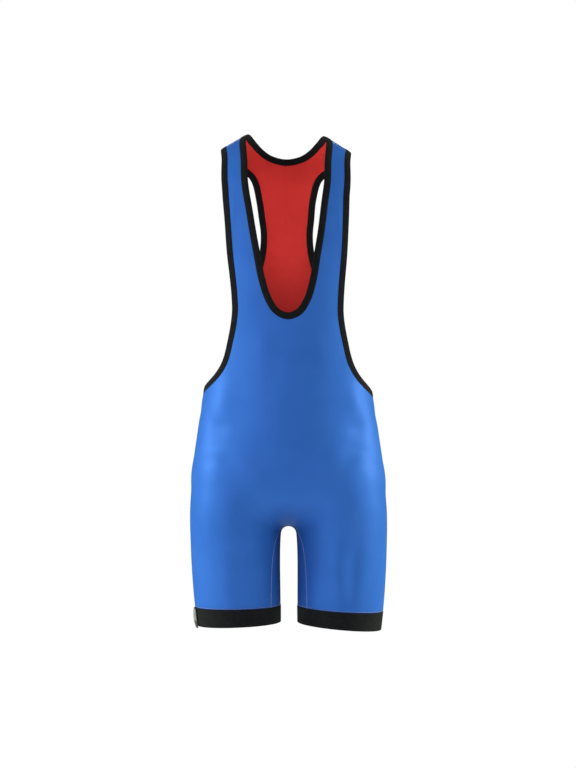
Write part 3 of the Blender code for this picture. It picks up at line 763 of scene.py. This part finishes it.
class Pattern:
    """The points that every piece is made from, all on the plus X side of the figure."""

    def __init__(self):
        self.neck, self.armhole = neck_edge(), armhole_edge()
        self.front = self.half(self.front_border, -1.0)
        self.back = self.half(self.back_border, 1.0)
        self.front_rows = self.marks(self.front, STRAP_ROWS + BIB_ROWS, CHEST_ROWS)
        self.back_rows = self.marks(self.back, YOKE_ROWS, RACER_ROWS + FLANK_ROWS)

    def marks(self, half, neck_rows, more_rows):
        """The rows where the neck ends, where the armhole ends and where the crotch is."""
        return neck_rows * PARTS, (neck_rows + more_rows) * PARTS, len(half) - 1 - LEG_ROWS * PARTS

    def front_border(self, parts):
        top = len(NECK_FRONT)
        neck = self.neck.stretches((top, top - STRAP_KNOTS, 0), (STRAP_ROWS * parts, BIB_ROWS * parts))
        chest = centre_rows(neck[-1][-1][2], WAIST_LEVEL, CHEST_ROWS * parts, -1.0)
        top = len(ARMHOLE_FRONT) + 1
        knots = top, top - STRAP_KNOTS, top - BIB_KNOTS, 0
        rows = STRAP_ROWS * parts, BIB_ROWS * parts, CHEST_ROWS * parts
        return border(neck + [chest], self.armhole.stretches(knots, rows), -1.0, parts)

    def back_border(self, parts):
        top = len(NECK_FRONT)
        neck = self.neck.stretches((top, top + len(NECK_BACK)), (YOKE_ROWS * parts,))
        racer = centre_rows(neck[-1][-1][2], RACER_LEVEL, RACER_ROWS * parts, 1.0)
        flank = centre_rows(RACER_LEVEL, WAIST_LEVEL, FLANK_ROWS * parts, 1.0)
        top = len(ARMHOLE_FRONT) + 1
        knots = top, top + YOKE_KNOTS, top + RACER_KNOTS, top + len(ARMHOLE_BACK) + 1
        rows = YOKE_ROWS * parts, RACER_ROWS * parts, FLANK_ROWS * parts
        return border(neck + [racer, flank], self.armhole.stretches(knots, rows), 1.0, parts)

    def half(self, lines, facing):
        grid = finer(coarse_half(*lines(1), facing), PARTS)
        inner, outer = lines(PARTS)
        top = shoulder_row(inner[0], outer[0], PARTS)
        return fitted(grid, inner, outer, top, hem_row(outer[-1], facing, PARTS))


def crease(form):
    """A form's middle on the figure, its axes divided by its reach along each, and its height."""
    middle = on_figure(MILLIMETRE * np.array((form.x, form.y, form.z)))
    out = outward(middle)
    sideways = unit(np.cross((0.0, 0.0, 1.0), out))
    upright = np.cross(out, sideways)
    turn = math.radians(form.turn)
    across = math.cos(turn) * sideways - math.sin(turn) * upright
    along = math.sin(turn) * sideways + math.cos(turn) * upright
    axes = np.stack([across / form.width, along / form.length, out / FORM_DEPTH], axis=1)
    return middle, axes / MILLIMETRE, form.height * MILLIMETRE


CREASES = [crease(form) for form in FORMS]


def relief(points):
    """How far the cloth stands out of the figure where its soft creases are."""
    total = np.zeros(points.shape[:-1])
    for middle, axes, height in CREASES:
        total += height * np.exp(-(((points - middle) @ axes) ** 2).sum(-1))
    return total


def dressed(points, lift=0.0):
    """Points of the figure moved out by lift and by the relief, then leaned as the solids are."""
    normals = outward(points)
    rise = np.broadcast_to(lift + relief(points), points.shape[:-1])
    moved = points + rise[..., None] * normals
    moved[..., 2] -= LEAN * moved[..., 0]
    moved[..., 0] += SWAY_SHIFT(moved[..., 2])
    return moved


def quads(index):
    """Faces between neighbouring rows and columns of an index grid, from each corner on."""
    corners = index[:-1, :-1], index[1:, :-1], index[1:, 1:], index[:-1, 1:]
    return np.stack(corners, axis=-1).reshape(-1, 4)


def ring(index, axis):
    """The index grid with its first row or column repeated at its end."""
    return np.concatenate([index, index[:1] if axis == 0 else index[:, :1]], axis=axis)


def make(name, points, faces, uvs, finishes):
    """A smooth mesh piece with a UV map in metres. Points that no face uses are dropped."""
    used, faces = np.unique(faces, return_inverse=True)
    faces = faces.reshape(-1, 4)
    mesh = bpy.data.meshes.new(name)
    mesh.from_pydata(points[used].tolist(), [], faces.tolist())
    layer = mesh.uv_layers.new(name="cloth")
    layer.data.foreach_set("uv", uvs[used][faces.reshape(-1)].astype(np.float32).ravel())
    mesh.shade_smooth()
    for finish in finishes:
        mesh.materials.append(finish)
    piece = bpy.data.objects.new(name, mesh)
    bpy.context.scene.collection.objects.link(piece)
    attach(piece, "root")
    return piece


def walled(piece, wall, lined=False):
    """The piece with a wall that grows inwards, whose inner face may be its second material."""
    solidify = piece.modifiers.new("Wall", "SOLIDIFY")
    solidify.thickness = wall
    solidify.offset = -1.0
    solidify.material_offset = 1 if lined else 0
    return piece


def across_lengths(grid):
    steps = np.linalg.norm(np.diff(grid, axis=1), axis=2)
    return np.concatenate([np.zeros((len(grid), 1)), np.cumsum(steps, axis=1)], axis=1)


def panel(name, half, rows, facing, lift, margin, finishes, lined=False):
    """Both halves of a panel as one piece, welded on the middle line from the neck to the crotch."""
    neck_row, armhole_row, crotch_row = rows
    half = inset(half, rows, SEAM_GAP / 2.0 + margin, margin)
    index = np.arange(half.shape[0] * half.shape[1]).reshape(half.shape[:2])
    other = index + index.size
    other[neck_row : crotch_row + 1, 0] = index[neck_row : crotch_row + 1, 0]
    points = np.concatenate([(half * side).reshape(-1, 3) for side in SIDES.values()])
    across = across_lengths(half).ravel()
    uvs = np.stack([np.concatenate([across, -across]), points[:, 2]], axis=1)
    faces = np.concatenate([quads(index), quads(other)[:, ::-1]])
    if facing > 0.0:
        faces = faces[:, ::-1]
    piece = make(name, dressed(points, lift), faces, uvs, finishes)
    return walled(piece, PANEL_WALL, lined)


def inset(grid, rows, seam, bound):
    """The border moved in, by bound along the neck and armhole and by seam along the seams."""
    neck_row, armhole_row, crotch_row = rows
    moved = grid.copy()
    edge = np.full(len(grid), seam)
    edge[:neck_row] = bound
    edge[neck_row : crotch_row + 1] = 0.0
    side = np.full(len(grid), seam)
    side[:armhole_row] = bound
    moved[:, 0] += edge[:, None] * unit(grid[:, 1] - grid[:, 0])
    moved[:, -1] += side[:, None] * unit(grid[:, -2] - grid[:, -1])
    moved[neck_row, 0] += bound * unit(grid[neck_row + 1, 0] - grid[neck_row, 0])
    moved[crotch_row, 0] += seam * unit(grid[crotch_row - 1, 0] - grid[crotch_row, 0])
    moved[0] += seam * unit(grid[1] - grid[0])
    moved[-1] += seam * unit(grid[-2] - grid[-1])
    return moved


def around(edge, side):
    """The free edge and the inner line of a bound edge in even rows, and their lengths along."""
    free, inner = (np.vstack([line, line[:1]]) for line in (edge.free, edge.inner))
    length = np.linalg.norm(np.diff(inner, axis=0), axis=1).sum()
    rows = int(round(length / TRIM_ROW))
    places = even_places(inner, rows)[:-1]
    along = np.arange(rows) * length / rows
    return at_places(free, places) * side, at_places(inner, places) * side, along


def tape_profile():
    """The tape's cross section: distances from the free edge, heights, and 1 on its outer face."""
    width = BINDING_WIDTH + TAPE_OVERLAP
    top, bottom = BINDING_WALL - BINDING_DEPTH, -BINDING_DEPTH
    middle, half = (top + bottom) / 2.0, (top - bottom) / 2.0
    points = []
    for turn in np.radians(np.linspace(-90.0, 90.0, TAPE_FOLD_STEPS)):
        points.append((TAPE_FOLD * (1.0 - math.cos(turn)), middle + half * math.sin(turn), 0.0))
    for across in np.linspace(TAPE_FOLD, width - TAPE_CUT, TAPE_STEPS)[1:]:
        share = (across - TAPE_FOLD) / (width - TAPE_FOLD)
        groove = sum(math.exp(-(((across - row) / GROOVE_WIDTH) ** 2)) for row in THREAD_ROWS)
        crown = BINDING_CROWN * math.sin(math.pi * share)
        points.append((across, top + crown - GROOVE_DEPTH * groove, math.sin(math.pi * share)))
    points.append((width, top - TAPE_CUT, 0.0))
    for across in np.linspace(width - TAPE_OVERLAP, TAPE_FOLD, TAPE_UNDER_STEPS)[:-1]:
        points.append((across, bottom, 0.0))
    return np.array(points)


def tape(name, edge, side, finish):
    """A folded tape round a free edge."""
    free, inner, along = around(edge, side)
    profile = tape_profile()
    share = profile[:, 0] / BINDING_WIDTH
    grid = on_figure(free[:, None] + share[None, :, None] * (inner - free)[:, None], passes=TRIM_PASSES)
    drift = PUCKER_DRIFT * np.sin(along * PUCKER_DRIFT_RATE)
    wave = np.sin(2.0 * math.pi * along / PUCKER_LENGTH + drift)
    lift = profile[:, 1] + TAPE_PUCKER * wave[:, None] * profile[:, 2]
    index = ring(ring(np.arange(len(grid) * len(profile)).reshape(len(grid), -1), 0), 1)
    uvs = np.stack(np.broadcast_arrays(along[:, None], profile[:, 0]), axis=-1).reshape(-1, 2)
    return closed(make(name, dressed(grid, lift).reshape(-1, 3), quads(index), uvs, [finish]))


def closed(piece):
    """The piece with its faces turned outwards."""
    shape = bmesh.new()
    shape.from_mesh(piece.data)
    bmesh.ops.recalc_face_normals(shape, faces=shape.faces)
    shape.to_mesh(piece.data)
    shape.free()
    return piece


def thread(name, edge, side, lines, finish):
    """Rows of stitches round a bound edge. lines gives each row's distance in and its height."""
    free, inner, _ = around(edge, side)
    length = np.linalg.norm(np.roll(inner, -1, axis=0) - inner, axis=1).sum()
    count = int(length / STITCH_LENGTH) * STITCH_STEPS
    fine = np.arange(count) * len(free) / count
    free, inner = (at_places(np.vstack([line, line[:1]]), fine) for line in (free, inner))
    swell = np.sin(math.pi * (np.arange(count) + 0.5) / STITCH_STEPS) ** 2
    turns = 2.0 * math.pi * np.arange(THREAD_SIDES) / THREAD_SIDES
    points, faces, uvs = [], [], []
    for across, height in lines:
        middle = on_figure(free + across / BINDING_WIDTH * (inner - free), passes=TRIM_PASSES)
        inwards = unit(inner - free)
        rise = THREAD_RISE * THREAD_RADIUS * swell * math.copysign(1.0, height)
        middle = dressed(middle, height + rise)
        radius = THREAD_RADIUS * (THREAD_THINNEST + (1.0 - THREAD_THINNEST) * swell)[:, None, None]
        normal = outward(middle)[:, None]
        circle = np.cos(turns)[:, None] * inwards[:, None] + np.sin(turns)[:, None] * normal
        grid = middle[:, None] + radius * circle
        index = np.arange(count * THREAD_SIDES).reshape(count, THREAD_SIDES)
        index += len(points) * index.size
        faces.append(quads(ring(ring(index, 0), 1)))
        points.append(grid.reshape(-1, 3))
        uvs.append(grid.reshape(-1, 3)[:, [0, 2]])
    points, faces, uvs = (np.concatenate(lists) for lists in (points, faces, uvs))
    return closed(make(name, points, faces, uvs, [finish]))


def cuff_profile():
    """The cuff's cross section: heights down it from its top, and heights out of the figure."""
    outer, inner = CUFF_PROUD, CUFF_PROUD - CUFF_WALL
    depth = CUFF_TOP - SEAM_GAP / 2.0 - CUFF_BOTTOM
    fold = CUFF_WALL / 2.0
    points = [(0.0, outer - CUFF_EDGE_SINK), (CUFF_EDGE_ROUND, outer)]
    points += [(drop, outer) for drop in np.linspace(CUFF_FACE_START, depth - fold, CUFF_FACE_STEPS)]
    for turn in np.radians(np.linspace(CUFF_FOLD_TURN, -CUFF_FOLD_TURN, CUFF_FOLD_STEPS)):
        points.append((depth - fold + fold * math.cos(turn), outer - fold + fold * math.sin(turn)))
    points += [(drop, inner) for drop in np.linspace(depth - fold, 0.0, CUFF_INNER_STEPS)]
    return np.array(points)


def cuff(name, side, finish):
    profile = cuff_profile()
    heights = CUFF_TOP - SEAM_GAP / 2.0 - profile[:, 0]
    grid = hem_points(heights[None, :], LEG_TURNS[:, None]) * side
    index = ring(ring(np.arange(grid[..., 0].size).reshape(grid.shape[:2]), 0), 1)
    girth = 2.0 * math.pi * LEG_GIRTH_RADIUS * np.arange(CUFF_TURNS) / CUFF_TURNS
    uvs = np.stack(np.broadcast_arrays(girth[:, None], heights[None, :]), axis=-1).reshape(-1, 2)
    points = dressed(grid, profile[None, :, 1]).reshape(-1, 3)
    return closed(make(name, points, quads(index), uvs, [finish]))


def seam_strip(name, line, width, finish, ends=True):
    """A low strip of stitching along a line of the cloth, open or, without ends, a ring."""
    along = np.gradient(line, axis=0)
    if not ends:
        along = np.roll(line, -1, axis=0) - np.roll(line, 1, axis=0)
    sideways = unit(np.cross(outward(line), along))
    across = np.linspace(-1.0, 1.0, SEAM_COLUMNS)
    offsets = across[None, :, None] * sideways[:, None] * width / 2.0
    grid = on_figure(line[:, None] + offsets, passes=TRIM_PASSES)
    rise = SEAM_LIFT * (1.0 - across**4)
    index = np.arange(grid[..., 0].size).reshape(grid.shape[:2])
    index = index if ends else ring(index, 0)
    length = np.concatenate([[0.0], np.cumsum(np.linalg.norm(np.diff(line, axis=0), axis=1))])
    uvs = np.stack(np.broadcast_arrays(length[:, None], across[None, :] * width / 2.0), axis=-1)
    points = dressed(grid, rise[None, :]).reshape(-1, 3)
    faces = quads(index)
    a, b, _, d = points[faces[len(faces) // 2]]
    if np.dot(np.cross(b - a, d - a), outward(a)) < 0.0:
        faces = faces[:, ::-1]
    return walled(make(name, points, faces, uvs.reshape(-1, 2), [finish]), SEAM_WALL)


def label_grid():
    share = np.linspace(0.0, 1.0, LABEL_CELLS * PARTS + 1)
    down, along = np.meshgrid(share, share, indexing="ij")
    heights = LABEL_TOP + down * (LABEL_BOTTOM - LABEL_TOP)
    grid = hem_points(heights, LABEL_FRONT + along * (LABEL_BACK - LABEL_FRONT)) * SIDES["right"]
    bulge = LABEL_BULGE * np.sin(math.pi * down) * np.sin(math.pi * along)
    return grid, CUFF_PROUD + SEAM_GAP + bulge + LABEL_WALL


def label(finish):
    grid, lift = label_grid()
    index = np.arange(lift.size).reshape(lift.shape)
    uvs = np.stack([across_lengths(grid), LABEL_TOP - grid[..., 2]], axis=-1).reshape(-1, 2)
    points = dressed(grid, lift).reshape(-1, 3)
    piece = make("label_tab", points, quads(index), uvs, [finish])
    return walled(piece, LABEL_WALL)


class Shader:
    """A Principled material whose colour and bump come from patterns in the cloth's own metres."""

    def __init__(self, name, roughness, **sockets):
        self.material = bpy.data.materials.new(name)
        self.material.use_nodes = True
        self.nodes = self.material.node_tree.nodes
        self.links = self.material.node_tree.links
        self.shader = self.nodes["Principled BSDF"]
        self.shader.inputs["Roughness"].default_value = roughness
        for key, value in sockets.items():
            self.shader.inputs[key.replace("_", " ")].default_value = value
        self.uv = self.add("ShaderNodeUVMap", uv_map="cloth")
        self.place = self.add("ShaderNodeTexCoord")

    def add(self, kind, **settings):
        node = self.nodes.new(kind)
        for key, value in settings.items():
            setattr(node, key, value)
        return node

    def link(self, source, target):
        self.links.new(source, target)

    def noise(self, mottle):
        node = self.add("ShaderNodeTexNoise")
        node.inputs["Scale"].default_value = mottle.scale
        node.inputs["Detail"].default_value = mottle.detail
        self.link(self.place.outputs["Object"], node.inputs["Vector"])
        return node.outputs["Fac"]

    def math(self, operation, first, second=0.0):
        node = self.add("ShaderNodeMath", operation=operation)
        for place, value in enumerate((first, second)):
            if isinstance(value, (int, float)):
                node.inputs[place].default_value = value
            else:
                self.link(value, node.inputs[place])
        return node.outputs[0]

    def knitted(self, knit):
        """Rows of small loops in relief: columns wale wide, each loop course high."""
        split = self.add("ShaderNodeSeparateXYZ")
        self.link(self.uv.outputs[0], split.inputs[0])
        column = self.math("SINE", self.math("MULTIPLY", split.outputs[0], 2.0 * math.pi / knit.wale))
        bend = self.math("MULTIPLY", self.math("ABSOLUTE", column), LOOP_BEND)
        row = self.math("ADD", self.math("MULTIPLY", split.outputs[1], 2.0 * math.pi / knit.course), bend)
        self.bump(self.math("ADD", self.math("SINE", row), column), knit.strength, knit.depth)

    def ramp(self, factor, mottle, colours):
        node = self.add("ShaderNodeValToRGB")
        for element, place, colour in zip(node.color_ramp.elements, (mottle.low, mottle.high), colours):
            element.position = place
            element.color = (*colour, 1.0)
        self.link(factor, node.inputs[0])
        return node.outputs[0]

    def mottled(self, mottle, colours):
        """A colour that wanders between two."""
        return self.ramp(self.noise(mottle), mottle, colours)

    def painted_hollow_shade(self, colour, cloth):
        """The colour with shade painted into it: darker deep in hollows, by how little open sky is within
        reach.
        """
        around = self.add("ShaderNodeAmbientOcclusion", samples=PAINTED_SHADE_SAMPLES)
        around.inputs["Distance"].default_value = cloth.reach
        # Painted shade: the colour is multiplied by a share that falls where little open sky lies within
        # reach
        share = self.math("MULTIPLY", self.math("POWER", around.outputs["AO"], cloth.power), cloth.gain)
        share = self.math("MINIMUM", self.math("MAXIMUM", share, DARKEST_PAINTED_SHADE), 1.0)
        mix = self.add("ShaderNodeMix", data_type="RGBA", blend_type="MULTIPLY")
        mix.inputs["Factor"].default_value = 1.0
        self.link(colour, mix.inputs["A"])
        self.link(share, mix.inputs["B"])
        return mix.outputs["Result"]

    def colour(self, output):
        self.link(output, self.shader.inputs["Base Color"])

    def bump(self, height, strength, distance):
        node = self.add("ShaderNodeBump")
        node.inputs["Strength"].default_value = strength
        node.inputs["Distance"].default_value = distance
        self.link(height, node.inputs["Height"])
        self.link(node.outputs[0], self.shader.inputs["Normal"])


def satin(name, colours, cloth):
    """A shiny stretch knit, with shade painted into its colour in hollows."""
    made = Shader(name, cloth.roughness, Metallic=cloth.gloss, Specular_IOR_Level=0.1, IOR=1.3)
    made.colour(made.painted_hollow_shade(made.mottled(SATIN_MOTTLE, colours), cloth))
    made.knitted(SATIN_KNIT)
    return made.material


def black_tape(name):
    made = Shader(name, 0.85, Sheen_Weight=0.02, Sheen_Roughness=0.5, Specular_IOR_Level=0.10)
    made.colour(made.mottled(TAPE_MOTTLE, BLACK))
    made.knitted(TAPE_KNIT)
    return made.material


def thread_shader(name, colours):
    made = Shader(name, 0.6, Sheen_Weight=0.1)
    made.colour(made.mottled(THREAD_MOTTLE, colours))
    made.knitted(THREAD_KNIT)
    return made.material


def woven_label(name):
    """A plain grey label with a dark woven border and nothing on it."""
    made = Shader(name, 0.6, Sheen_Weight=0.1)
    split = made.add("ShaderNodeSeparateXYZ")
    made.link(made.uv.outputs[0], split.inputs[0])
    inside = []
    for axis, size in enumerate(LABEL_SIZE):
        away = made.math("ABSOLUTE", made.math("SUBTRACT", split.outputs[axis], size / 2.0))
        inside.append(made.math("LESS_THAN", away, size / 2.0 - LABEL_BORDER))
    weft = made.math("SINE", made.math("MULTIPLY", split.outputs[1], 2.0 * math.pi / WEFT_LENGTH))
    flecks = made.math("MULTIPLY", made.noise(LABEL_MOTTLE), FLECK_SHARE)
    shade = made.math("ADD", flecks, made.math("MULTIPLY", weft, WEFT_SHARE))
    face = made.ramp(shade, LABEL_MOTTLE, LABEL_GREY)
    mix = made.add("ShaderNodeMix", data_type="RGBA")
    made.link(made.math("MULTIPLY", *inside), mix.inputs["Factor"])
    mix.inputs["A"].default_value = LABEL_EDGE
    made.link(face, mix.inputs["B"])
    made.colour(mix.outputs["Result"])
    made.bump(weft, *LABEL_BUMP)
    return made.material


def area_light(softbox):
    light = bpy.data.lights.new(softbox.name, "AREA")
    light.shape = "RECTANGLE"
    light.size, light.size_y = LIGHT_SIZE
    light.energy = softbox.power
    light.color = softbox.colour
    lamp = bpy.data.objects.new(softbox.name, light)
    azimuth, elevation = math.radians(softbox.azimuth), math.radians(softbox.elevation)
    level = math.cos(elevation)
    away = Vector((math.sin(azimuth) * level, -math.cos(azimuth) * level, math.sin(elevation)))
    lamp.location = Vector(LIGHT_AIM) + LIGHT_DISTANCE * away
    lamp.rotation_euler = away.to_track_quat("Z", "Y").to_euler()
    bpy.context.scene.collection.objects.link(lamp)


def white_world():
    """White behind the object, and a softer, even light on it."""
    world = bpy.data.worlds.new("studio")
    bpy.context.scene.world = world
    world.use_nodes = True
    nodes, links = world.node_tree.nodes, world.node_tree.links
    seen = nodes["Background"]
    seen.inputs["Color"].default_value = WHITE
    seen.inputs["Strength"].default_value = 1.0
    lit = nodes.new("ShaderNodeBackground")
    lit.inputs["Color"].default_value = WHITE
    lit.inputs["Strength"].default_value = AMBIENT
    mix = nodes.new("ShaderNodeMixShader")
    path = nodes.new("ShaderNodeLightPath")
    links.new(path.outputs["Is Camera Ray"], mix.inputs[0])
    links.new(lit.outputs[0], mix.inputs[1])
    links.new(seen.outputs[0], mix.inputs[2])
    links.new(mix.outputs[0], nodes["World Output"].inputs["Surface"])


def studio():
    white_world()
    for light in LIGHTS:
        area_light(light)
    camera = bpy.data.objects.new("camera", bpy.data.cameras.new("camera"))
    camera.data.lens = CAMERA_LENS
    camera.location = CAMERA_PLACE
    camera.rotation_euler = (math.radians(90.0), 0.0, 0.0)
    bpy.context.scene.collection.objects.link(camera)
    bpy.context.scene.camera = camera
    bpy.context.scene.view_settings.view_transform = "Standard"


def floor():
    """A pale round floor, well under the garment, with the white all round it."""
    mesh = bpy.data.meshes.new("studio_floor")
    turns = [2.0 * math.pi * side / FLOOR_SIDES for side in range(FLOOR_SIDES)]
    points = [(FLOOR_RADIUS * math.cos(t), FLOOR_RADIUS * math.sin(t), FLOOR_LEVEL) for t in turns]
    mesh.from_pydata(points, [], [list(range(FLOOR_SIDES))])
    made = Shader("pale_floor", 0.9)
    made.shader.inputs["Base Color"].default_value = FLOOR_GREY
    mesh.materials.append(made.material)
    disc = bpy.data.objects.new("studio_floor", mesh)
    bpy.context.scene.collection.objects.link(disc)


def seams(pattern, blue_thread, pale_thread, hem_thread):
    """Flat seams: over the shoulders, down the sides, along both inseams and above the cuffs."""
    _, armhole_row, crotch_row = pattern.front_rows
    shoulder, down = pattern.front[0], pattern.front[armhole_row:, -1]
    inseam = pattern.front[crotch_row:, 0]
    both = np.vstack([inseam[::-1], inseam[1:] * SIDES["right"]])
    hem = hem_points(CUFF_TOP + HEM_SEAM_RISE, LEG_TURNS)
    seam_strip("inseam_stitching", both, INSEAM_WIDTH, pale_thread)
    for name, side in SIDES.items():
        seam_strip(f"shoulder_stitching_{name}", shoulder * side, SEAM_WIDTH, blue_thread)
        seam_strip(f"side_stitching_{name}", down * side, SEAM_WIDTH, blue_thread)
        seam_strip(f"hem_stitching_{name}", hem * side, HEM_SEAM_WIDTH, hem_thread, ends=False)


def dress():
    pattern = Pattern()
    blue = satin("blue_satin", BLUE, BLUE_CLOTH)
    red = satin("red_inner_knit", RED, RED_CLOTH)
    black = black_tape("black_tape")
    grey = woven_label("plain_woven_label")
    lining_lift = -PANEL_WALL - LAYER_GAP
    rows_front, rows_back = pattern.front_rows, pattern.back_rows
    front = panel("front_cloth", pattern.front, rows_front, -1.0, 0.0, 0.0, [blue, red], lined=True)
    back = panel("back_cloth", pattern.back, rows_back, 1.0, 0.0, 0.0, [blue])
    lining = panel("back_inner_cloth", pattern.back, rows_back, 1.0, lining_lift, LINING_MARGIN, [red])
    left, right = SIDES.values()
    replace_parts(front, "front_panel")
    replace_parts(back, "back_panel")
    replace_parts(lining, "back_lining")
    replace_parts(tape("neck_tape", pattern.neck, left, black), "neck_binding")
    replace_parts(tape("armhole_tape_left", pattern.armhole, left, black), "armhole_binding_left")
    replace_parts(tape("armhole_tape_right", pattern.armhole, right, black), "armhole_binding_right")
    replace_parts(cuff("cuff_left", left, black), "leg_cuff_left")
    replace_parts(cuff("cuff_right", right, black), "leg_cuff_right")
    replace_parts(label(grey), "hem_label")
    outer, inner = BINDING_WALL - BINDING_DEPTH, -BINDING_DEPTH
    rows = [(across, height) for height in (outer, inner) for across in THREAD_ROWS]
    thread("neck_tape_thread", pattern.neck, left, rows, black)
    thread("armhole_tape_thread_left", pattern.armhole, left, rows, black)
    thread("armhole_tape_thread_right", pattern.armhole, right, rows, black)
    seams(pattern, *(thread_shader(name, colours) for name, colours in THREADS.items()))


dress()
floor()
studio()
